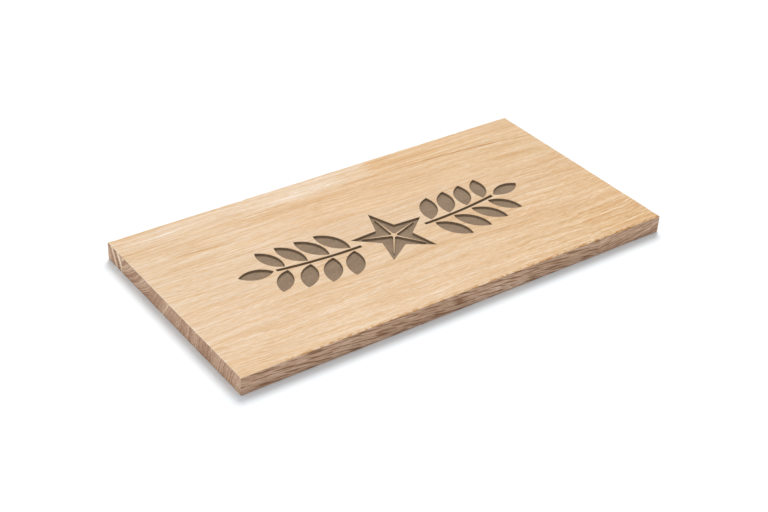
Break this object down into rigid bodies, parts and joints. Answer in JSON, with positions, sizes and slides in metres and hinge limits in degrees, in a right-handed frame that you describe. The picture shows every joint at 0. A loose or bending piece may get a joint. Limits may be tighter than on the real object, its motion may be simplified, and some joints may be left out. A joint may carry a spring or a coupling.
{
  "type": "wall plaque",
  "caption": "Flat rectangular oak plaque, edge-glued from staves, with a recessed laurel and star filled brown, and flush keyhole plates in the back to hang it.",
  "frame": {"origin": "centre of the board's back face, which is the face it lies on and hangs by", "axes": "+X to the right along the grain and the long side, +Y up when the plaque hangs, +Z out of the engraved face"},
  "size_m": [0.3, 0.15, 0.0115],
  "materials": {
    "oak": "sanded, thin clear oil",
    "oak_pale": "sanded, thin clear oil",
    "oak_warm": "sanded, thin clear oil",
    "fill": "matt brown lacquer fill",
    "plate_steel": "zinc plated, satin",
    "screw_steel": "zinc plated, satin"
  },
  "bodies": {
    "root": {"top_stave_left": "oak_pale", "top_stave_right": "oak_warm", "upper_stave": "oak", "middle_stave": "oak_pale", "lower_stave": "oak", "bottom_stave_left": "oak_pale", "bottom_stave_right": "oak_warm", "engraving_fill": "fill", "hanger_plate_left": "plate_steel", "hanger_plate_right": "plate_steel", "hanger_screws": "screw_steel"}
  },
  "joints": []
}
